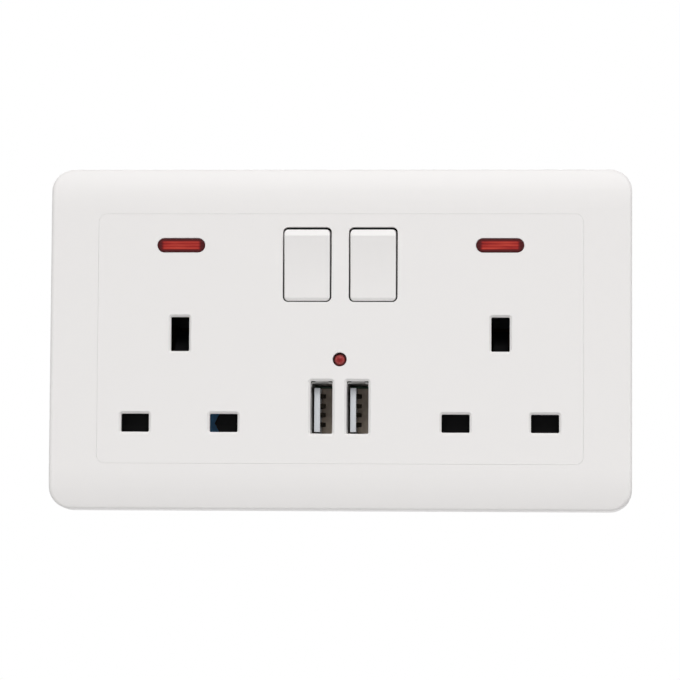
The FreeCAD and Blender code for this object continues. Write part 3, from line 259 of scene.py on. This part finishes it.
def new_material(name, color, roughness, metallic=0.0, specular=0.5, ior=1.5):
    material = bpy.data.materials.new(name)
    material.use_nodes = True
    shader = material.node_tree.nodes["Principled BSDF"]
    shader.inputs["Base Color"].default_value = (*color, 1)
    shader.inputs["Roughness"].default_value = roughness
    shader.inputs["Metallic"].default_value = metallic
    shader.inputs["Specular IOR Level"].default_value = specular
    shader.inputs["IOR"].default_value = ior
    return material, material.node_tree, shader


def noise(tree, scale, detail=3.0, stretch=(1, 1, 1)):
    """Noise over the object's own coordinates."""
    place = tree.nodes.new("ShaderNodeTexCoord")
    mapping = tree.nodes.new("ShaderNodeMapping")
    mapping.inputs["Scale"].default_value = stretch
    texture = tree.nodes.new("ShaderNodeTexNoise")
    texture.inputs["Scale"].default_value = scale
    texture.inputs["Detail"].default_value = detail
    tree.links.new(place.outputs["Object"], mapping.inputs[0])
    tree.links.new(mapping.outputs[0], texture.inputs["Vector"])
    return texture.outputs["Fac"]


def map_range(tree, source, before, after, kind="LINEAR"):
    """A value taken from one range to another."""
    spread = tree.nodes.new("ShaderNodeMapRange")
    spread.interpolation_type = kind
    for name, value in zip(("From Min", "From Max", "To Min", "To Max"), (*before, *after)):
        spread.inputs[name].default_value = value
    tree.links.new(source, spread.inputs["Value"])
    return spread.outputs[0]


def vary(tree, source, low, high, socket):
    """Spread a noise over a range, into a socket."""
    tree.links.new(map_range(tree, source, noise_range, (low, high)), socket)


def shaded(color, share):
    return tuple(channel * share for channel in color)


def blend_colors(tree, source, first, second, socket):
    """Colour a socket by a noise, from one colour to another."""
    color_ramp(tree, source, list(zip(noise_bands, (first, second))), socket)


def add_bump(tree, shader, source, height):
    """Raise a material's surface by a value, up to a height."""
    bump = tree.nodes.new("ShaderNodeBump")
    bump.inputs["Distance"].default_value = height
    bump.inputs["Strength"].default_value = 1.0
    tree.links.new(source, bump.inputs["Height"])
    tree.links.new(bump.outputs[0], shader.inputs["Normal"])


def moulded(
    name, color, roughness, spread=0.04, grain=0.000004, shade=0.996, specular=0.5
):
    """Moulded plastic: faint flow marks in its colour and gloss, and a fine skin."""
    material, tree, shader = new_material(name, color, roughness, specular=specular)
    flow = noise(tree, flow_scale, 2.0, flow_stretch)
    blend_colors(tree, flow, shaded(color, shade), color, shader.inputs["Base Color"])
    gloss = shader.inputs["Roughness"]
    cloud = noise(tree, moulded_gloss_scale)
    vary(tree, cloud, roughness - spread, roughness + spread, gloss)
    add_bump(tree, shader, noise(tree, skin_scale, 2.0), grain)
    return material


def metal(name, color, roughness):
    """Drawn or plated metal with fine lines along one way."""
    material, tree, shader = new_material(name, color, roughness, metallic=1.0)
    lines = noise(tree, line_scale, stretch=line_stretch)
    blend_colors(tree, lines, shaded(color, line_shade), color, shader.inputs["Base Color"])
    low, high = (roughness * share for share in metal_gloss)
    vary(tree, noise(tree, metal_gloss_scale), low, high, shader.inputs["Roughness"])
    add_bump(tree, shader, lines, line_height)
    return material


def axes(tree, kind="Object"):
    """Coordinates, a piece's own by default, as X, Y and Z."""
    place = tree.nodes.new("ShaderNodeTexCoord")
    parts = tree.nodes.new("ShaderNodeSeparateXYZ")
    tree.links.new(place.outputs[kind], parts.inputs[0])
    return parts.outputs


def math_node(tree, operation, first, second=None, clamp=False):
    """A sum with one or two values, each a socket or a number."""
    node = tree.nodes.new("ShaderNodeMath")
    node.operation = operation
    node.use_clamp = clamp
    for value, socket in zip((first, second), node.inputs):
        if isinstance(value, (int, float)):
            socket.default_value = value
        elif value is not None:
            tree.links.new(value, socket)
    return node.outputs[0]


def from_axis(tree, first, second):
    """How far a point lies from an axis, from its two coordinates across it."""
    squares = [math_node(tree, "MULTIPLY", value, value) for value in (first, second)]
    return math_node(tree, "SQRT", math_node(tree, "ADD", *squares))


def away(tree, value, middle):
    """How far a coordinate lies from a middle, either way."""
    return math_node(tree, "ABSOLUTE", math_node(tree, "SUBTRACT", value, middle))


def within(tree, value, limit, soft):
    """1 where a value is under its limit, falling to 0 over a soft edge."""
    over = math_node(tree, "SUBTRACT", limit, value)
    return math_node(tree, "DIVIDE", over, soft, clamp=True)


def color_ramp(tree, source, stops, socket):
    """Colour a socket by a value, from stops of a position and a colour."""
    ramp = tree.nodes.new("ShaderNodeValToRGB")
    elements = ramp.color_ramp.elements
    while len(elements) < len(stops):
        elements.new(0.5)
    for element, (position, color) in zip(elements, stops):
        element.position = position
        element.color = (*color, 1)
    tree.links.new(source, ramp.inputs[0])
    tree.links.new(ramp.outputs[0], socket)


def lens_material():
    """Red lens: a dark rim round a ribbed window whose lighter red and rib streaks are painted
    light coming through the lens.
    """
    material, tree, shader = new_material(
        "red_lens_clear", (0.4, 0.02, 0.015), 0.22, specular=0.12
    )
    place = axes(tree)
    side = away(tree, math_node(tree, "ABSOLUTE", place[0]), lens_x)
    height = math_node(tree, "SUBTRACT", place[2], lens_z)
    inside = math_node(
        tree,
        "MULTIPLY",
        within(tree, side, *lens_window_x),
        within(tree, math_node(tree, "ABSOLUTE", height), *lens_window_z),
    )
    # Rib streaks and the window's lighter red are painted light through the lens
    wave = math_node(tree, "COSINE", math_node(tree, "MULTIPLY", height, lens_rib_waves))
    cloud = noise(tree, lens_cloud_scale, 2.0, lens_cloud_stretch)
    streak = math_node(tree, "ADD", math_node(tree, "MULTIPLY", wave, lens_rib_light), cloud)
    light = math_node(tree, "ADD", streak, lens_base_light)
    glow = math_node(tree, "MULTIPLY", inside, light, clamp=True)
    stops = (
        (0.0, (0.072, 0.008, 0.009)),
        (0.3, (0.14, 0.01, 0.011)),
        (0.6, (0.32, 0.018, 0.016)),
        (0.95, (0.52, 0.056, 0.036)),
    )
    color_ramp(tree, glow, stops, shader.inputs["Base Color"])
    add_bump(tree, shader, wave, lens_rib_height)
    return material


def led_material():
    """Red charging light: a dark red middle, a pale ring that is a painted highlight, and a rim
    darkened as painted shade; its faint glow is painted light.
    """
    material, tree, shader = new_material("led_epoxy", (0.4, 0.02, 0.02), 0.3, specular=0.2)
    place = axes(tree)
    radius = from_axis(tree, place[0], math_node(tree, "SUBTRACT", place[2], led_z))
    share = math_node(tree, "DIVIDE", radius, led_radius, clamp=True)
    # Pale ring: painted highlight on the dome; dark rim: painted shade of its hole
    stops = (
        (0.14, (0.2, 0.005, 0.007)),
        (0.36, (0.29, 0.018, 0.019)),
        (0.58, (0.4, 0.085, 0.08)),
        (0.74, (0.19, 0.012, 0.013)),
        (0.9, (0.07, 0.004, 0.006)),
    )
    color_ramp(tree, share, stops, shader.inputs["Base Color"])
    # Faint glow: painted light that lifts the shade in the light's hole
    shader.inputs["Emission Color"].default_value = (1.0, 0.28, 0.28, 1)
    shader.inputs["Emission Strength"].default_value = led_painted_glow
    return material


def tongue_material():
    """Pale tongue of a USB port, on a block deep in the port whose mottled brown-grey is painted
    shade and painted reflection.
    """
    material, tree, shader = new_material("port_moulding", (0.6, 0.62, 0.66), 0.45)
    depth = math_node(tree, "SUBTRACT", axes(tree)[1], tongue_end)
    share = math_node(tree, "DIVIDE", depth, block_front - tongue_end, clamp=True)
    cloud = math_node(tree, "MULTIPLY", noise(tree, block_mottle_scale, 4.0), block_mottle)
    mix = math_node(tree, "SUBTRACT", share, math_node(tree, "MULTIPLY", share, cloud))
    # Brown-grey stops: painted shade and reflection on the block
    stops = (
        (0.0, (0.62, 0.64, 0.67)),
        (0.5, (0.27, 0.21, 0.165)),
        (1.0, (0.52, 0.43, 0.35)),
    )
    color_ramp(tree, mix, stops, shader.inputs["Base Color"])
    add_bump(tree, shader, noise(tree, port_skin_scale, 2.0), port_skin_height)
    return material


def clear(name, color, roughness, transmission):
    """Tinted clear glass."""
    material, tree, shader = new_material(name, color, roughness, ior=glass_ior)
    shader.inputs["Transmission Weight"].default_value = transmission
    cloud = noise(tree, glass_scale, 2.0)
    blend_colors(tree, cloud, shaded(color, glass_shade), color, shader.inputs["Base Color"])
    low, high = (roughness * share for share in glass_gloss)
    vary(tree, noise(tree, glass_gloss_scale), low, high, shader.inputs["Roughness"])
    return material


def make_materials():
    """One material for each slot of the record, and two for parts of a slot."""
    return {
        "white_plastic": moulded(
            "white_urea", (0.86, 0.842, 0.832), 0.34, 0.008, shade=0.999, specular=0.18
        ),
        # Black plastic, made darker still as painted shade of the shutters deep in their holes
        "black_plastic": moulded(
            "black_moulding_with_painted_shade", (0.007, 0.007, 0.0075), 0.5, grain=0.00001, specular=0.05
        ),
        "case_black": moulded(
            "case_moulding", (0.02, 0.02, 0.021), 0.42, grain=0.00002, shade=0.9, specular=0.4
        ),
        "earth_bronze": metal("dark_bronze", (0.05, 0.035, 0.02), 0.6),
        "blue_plastic": moulded("blue_moulding", (0.088, 0.28, 0.55), 0.4, specular=0.2),
        "red_lens": lens_material(),
        "lamp_glass": clear("neon_glass", (0.9, 0.75, 0.65), 0.05, 0.9),
        "zinc_steel": metal("zinc_plate", (0.62, 0.63, 0.62), 0.34),
        "spring_steel": metal("bright_wire", (0.55, 0.55, 0.56), 0.25),
        "contact_brass": metal("brass_strip", (0.75, 0.56, 0.26), 0.3),
        # Plated contacts darkened to near black: painted shade deep in the ports
        "contact_plated": metal("plated_strip_painted_shade", (0.07, 0.06, 0.045), 0.5),
        "port_steel": metal("nickel_shell", (0.6, 0.595, 0.58), 0.5),
        "port_grey": tongue_material(),
        "board_green": moulded("solder_mask", (0.02, 0.14, 0.05), 0.35, shade=0.8),
        "ferrite": moulded("ferrite_grey", (0.05, 0.05, 0.055), 0.7, grain=0.00003, shade=0.7),
        "winding_tape": moulded("polyester_tape", (0.62, 0.45, 0.06), 0.3),
        "capacitor_can": moulded("capacitor_sleeve", (0.02, 0.03, 0.07), 0.35),
        "chip_black": moulded("epoxy_black", (0.03, 0.03, 0.03), 0.6, grain=0.00002),
        "red_light": led_material(),
        "resistor_body": moulded("resistor_lacquer", (0.5, 0.4, 0.24), 0.4),
        "lead_sleeve": moulded("lead_red", (0.3, 0.02, 0.02), 0.4),
    }


def dress_nodes(materials):
    """Give each CAD node the material of its slot, or of its own."""
    slots = {entry["node"]: entry["material_slot"] for entry in frame["record"]["subparts"]}
    for name in ("rear_case", "case_back", "base_skirt"):
        slots[name] = "case_black"
    for name in ("earth_contact_left", "earth_contact_right", "earth_bar"):
        slots[name] = "earth_bronze"
    for name, node in nodes.items():
        paint(node, materials[slots[name]])
        node.data.shade_smooth()
        node.data.set_sharp_from_angle(angle=math.radians(node_crease))


def paint(piece, material):
    piece.data.materials.clear()
    piece.data.materials.append(material)


def add_piece(name, mesh, body):
    """Put a mesh into the scene as a piece that rides on a body."""
    piece = bpy.data.objects.new(name, mesh)
    bpy.context.scene.collection.objects.link(piece)
    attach(piece, body)
    return piece


def rounded_block(width, depth, height, radius, segments=4):
    """Block along X, Y and Z about its middle, with rounded upright corners."""
    shape = bmesh.new()
    corners = []
    for quarter in range(4):
        middle_x = (width / 2 - radius) * (1 if quarter in (0, 3) else -1)
        middle_z = (height / 2 - radius) * (1 if quarter in (0, 1) else -1)
        for step in range(segments + 1):
            turn = math.radians(90 * quarter + 90 * step / segments)
            x, z = middle_x + radius * math.cos(turn), middle_z + radius * math.sin(turn)
            corners.append(shape.verts.new((x, -depth / 2, z)))
    face = shape.faces.new(corners)
    far = bmesh.ops.extrude_face_region(shape, geom=[face])["geom"]
    moved = [v for v in far if isinstance(v, bmesh.types.BMVert)]
    bmesh.ops.translate(shape, vec=(0, depth, 0), verts=moved)
    bmesh.ops.recalc_face_normals(shape, faces=shape.faces)
    return shape


def in_order(mesh):
    """The same shape with its points and faces in a fixed order, since a cut shuffles them."""
    places = sorted((tuple(vert.co), vert.index) for vert in mesh.vertices)
    rank = {index: number for number, (place, index) in enumerate(places)}
    faces = []
    for face in mesh.polygons:
        loop = [rank[index] for index in face.vertices]
        start = loop.index(min(loop))
        faces.append(loop[start:] + loop[:start])
    fresh = bpy.data.meshes.new(mesh.name)
    fresh.from_pydata([place for place, index in places], [], sorted(faces))
    return fresh


def cut_by(piece, cutters):
    """Cut a joined set of blocks out of a piece."""
    joined = bmesh.new()
    for cutter, place in cutters:
        bmesh.ops.translate(cutter, vec=place, verts=cutter.verts)
        mesh = bpy.data.meshes.new("cutter")
        cutter.to_mesh(mesh)
        cutter.free()
        joined.from_mesh(mesh)
        bpy.data.meshes.remove(mesh)
    mesh = bpy.data.meshes.new("cutters")
    joined.to_mesh(mesh)
    joined.free()
    tool = bpy.data.objects.new("cutters", mesh)
    bpy.context.scene.collection.objects.link(tool)
    modifier = piece.modifiers.new("cut", "BOOLEAN")
    modifier.operation = "DIFFERENCE"
    modifier.solver = "EXACT"
    modifier.object = tool
    settle(piece)
    piece.data = in_order(piece.data)
    bpy.data.objects.remove(tool)


def applied(piece):
    """A piece's shape with its modifiers, as a mesh."""
    bpy.context.view_layer.update()
    graph = bpy.context.evaluated_depsgraph_get()
    return bpy.data.meshes.new_from_object(piece.evaluated_get(graph))


def settle(piece):
    """Apply a piece's modifiers to its mesh."""
    mesh = applied(piece)
    piece.modifiers.clear()
    piece.data = mesh


def soften(piece, width):
    """Break a piece's edges with a small bevel."""
    modifier = piece.modifiers.new("edges", "BEVEL")
    modifier.width = width
    modifier.segments = 2
    modifier.limit_method = "ANGLE"
    modifier.angle_limit = math.radians(bevel_crease)
    modifier.use_clamp_overlap = True
    settle(piece)
    piece.data.shade_smooth()
    piece.data.set_sharp_from_angle(angle=math.radians(piece_crease))
    flatten = piece.modifiers.new("flatten", "WEIGHTED_NORMAL")
    flatten.weight = 100
    flatten.keep_sharp = True
    settle(piece)


def back_cover(materials):
    """Back of the case, with the shallow fields, grooves and pin marks of its mould."""
    node = nodes["case_back"]
    mesh = node.data.copy()
    shape = bmesh.new()
    shape.from_mesh(mesh)
    bmesh.ops.remove_doubles(shape, verts=shape.verts, dist=same_point)
    flat = math.radians(same_plane)
    bmesh.ops.dissolve_limit(shape, angle_limit=flat, verts=shape.verts, edges=shape.edges)
    shape.to_mesh(mesh)
    shape.free()
    piece = add_piece("back_cover", mesh, "base")
    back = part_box("case_back")[1][1]
    cutters = []
    for x, z, width, height in back_fields:
        cutter = rounded_block(width, 2 * field_depth, height, field_corner)
        cutters.append((cutter, (x, back, z)))
    for x, z in pin_marks:
        size, depth = pin_mark_size, 2 * pin_mark_depth
        cutter = rounded_block(size, depth, size, pin_mark_corner, pin_mark_steps)
        cutters.append((cutter, (x, back, z)))
    for x in groove_places:
        width, height = groove_size
        cutter = rounded_block(width, 2 * groove_depth, height, groove_corner, groove_steps)
        cutters.append((cutter, (x, back, groove_z)))
    cut_by(piece, cutters)
    soften(piece, back_edge)
    paint(piece, materials["case_black"])
    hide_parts("case_back")


def spring_line():
    """Points of a compression spring about the z axis, with a closed turn at each end."""
    points = []
    rise = spring_length - spring_wire
    closed = spring_wire / rise
    for step in range(spring_steps * spring_turns + 1):
        turn = step / spring_steps
        if turn < 1:
            height = closed * turn
        elif turn > spring_turns - 1:
            height = 1 - closed * (spring_turns - turn)
        else:
            height = closed + (1 - 2 * closed) * (turn - 1) / (spring_turns - 2)
        angle = 2 * math.pi * turn
        x, y = spring_radius * math.cos(angle), spring_radius * math.sin(angle)
        points.append((x, y, spring_low + spring_wire / 2 + height * rise))
    return points


def return_spring(side, materials):
    """Shutter's return spring, a fixed coil in place of the part's spring."""
    low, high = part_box(f"shutter_spring_{side}")
    middle_x, middle_y = (low[0] + high[0]) / 2, (low[1] + high[1]) / 2
    line = bpy.data.curves.new("spring_line", "CURVE")
    line.dimensions = "3D"
    line.bevel_depth = spring_wire / 2
    line.bevel_resolution = spring_facets
    line.use_fill_caps = True
    points = spring_line()
    spline = line.splines.new("POLY")
    spline.points.add(len(points) - 1)
    for point, (x, y, z) in zip(spline.points, points):
        point.co = (middle_x + x, middle_y + y, z, 1)
    wire = bpy.data.objects.new("spring_wire", line)
    bpy.context.scene.collection.objects.link(wire)
    mesh = applied(wire)
    bpy.data.objects.remove(wire)
    piece = add_piece(f"return_spring_{side}", mesh, "base")
    paint(piece, materials["spring_steel"])
    piece.data.shade_smooth()
    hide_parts(f"shutter_spring_{side}")
    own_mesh(piece)


add_camera()
add_world(world_light)
add_light("key", *key_lamp)
add_light("front", *front_lamp)
add_floor()
bpy.context.scene.view_settings.view_transform = "Standard"
materials = make_materials()
dress_nodes(materials)
back_cover(materials)
for side in sides:
    return_spring(side, materials)
